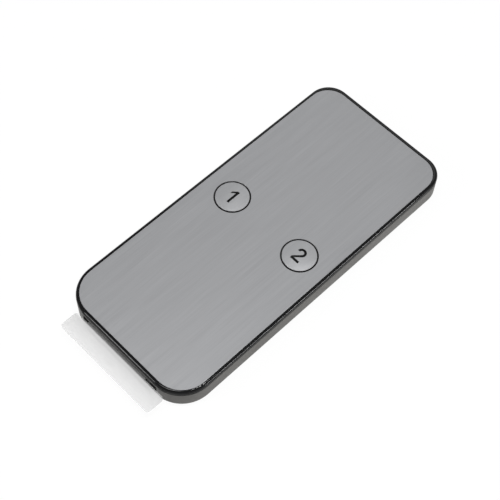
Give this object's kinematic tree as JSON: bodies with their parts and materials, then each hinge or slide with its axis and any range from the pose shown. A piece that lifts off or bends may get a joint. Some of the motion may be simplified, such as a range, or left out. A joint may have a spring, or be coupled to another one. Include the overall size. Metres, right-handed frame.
{
  "type": "infrared remote control",
  "caption": "Slim infrared card remote with round keys on a brushed grey face, a black rim, and a sliding coin-cell tray with a clear pull tab.",
  "frame": {"origin": "centre of the case's flat rear face", "axes": "+Z out of the key face, +Y along the case to the infrared lamp end, +X to the right when the keys are read"},
  "size_m": [0.0388, 0.091, 0.0065],
  "materials": {
    "rear_case": "satin moulded dark grey plastic",
    "front_case": "glossy moulded black plastic",
    "face_sheet": "metallised film brushed along its length",
    "key_face": "metallised film, crowned, with a printed number",
    "adhesive": "cloudy adhesive film",
    "spring_metal": "bright rolled spring steel",
    "spacer_film": "cloudy film",
    "board": "green solder mask over laminate",
    "lamp_lens": "clear blue-tinted moulded resin",
    "tinned_metal": "dull tinned metal",
    "chip_body": "matt black moulding compound",
    "resonator_body": "orange-brown moulded case",
    "capacitor_body": "tan ceramic",
    "contact_metal": "nickel-washed spring bronze",
    "tray_plastic": "satin moulded black plastic",
    "cell_steel": "bright drawn steel with fine turning marks",
    "gasket": "matt sealing ring",
    "tab_film": "frosted clear film"
  },
  "bodies": {
    "case": {"rear_shell": "rear_case", "front_shell": "front_case", "face_overlay": "face_sheet", "overlay_adhesive": "adhesive", "snap_dome_1": "spring_metal", "snap_dome_2": "spring_metal", "dome_spacer": "spacer_film", "circuit_board": "board", "infrared_led": "lamp_lens", "led_leads": "tinned_metal", "encoder_chip": "chip_body", "chip_legs": "tinned_metal", "ceramic_resonator": "resonator_body", "driver_transistor": "chip_body", "chip_resistors": "chip_body", "chip_capacitors": "capacitor_body", "positive_contact": "contact_metal", "negative_contact": "contact_metal"},
    "first_key": {"key_1": "key_face"},
    "second_key": {"key_2": "key_face"},
    "tray": {"battery_tray": "tray_plastic", "cell_can": "cell_steel", "cell_gasket": "gasket", "cell_cap": "cell_steel"},
    "latch": {"tray_latch": "tray_plastic"},
    "tab": {"pull_tab": "tab_film"}
  },
  "joints": [
    {"name": "first_key_press", "type": "slide", "parent": "case", "child": "first_key", "axis": [0, 0, -1], "range_m": [0, 0.0003], "stiffness_N_per_m": 1000, "deforming": ["snap_dome_1"]},
    {"name": "second_key_press", "type": "slide", "parent": "case", "child": "second_key", "axis": [0, 0, -1], "range_m": [0, 0.0003], "stiffness_N_per_m": 1000, "deforming": ["snap_dome_2"]},
    {"name": "tray_slide", "type": "slide", "parent": "case", "child": "tray", "axis": [0, -1, 0], "range_m": [0, 0.024]},
    {"name": "latch_press", "type": "hinge", "parent": "tray", "child": "latch", "pos_m": [0.0102, -0.0375, 0.0024], "axis": [0, 0, -1], "range_deg": [0, 4], "stiffness_Nm_per_rad": 0.1},
    {"name": "tab_pull", "type": "slide", "parent": "tray", "child": "tab", "axis": [0, -1, 0], "range_m": [0, 0.022]}
  ]
}
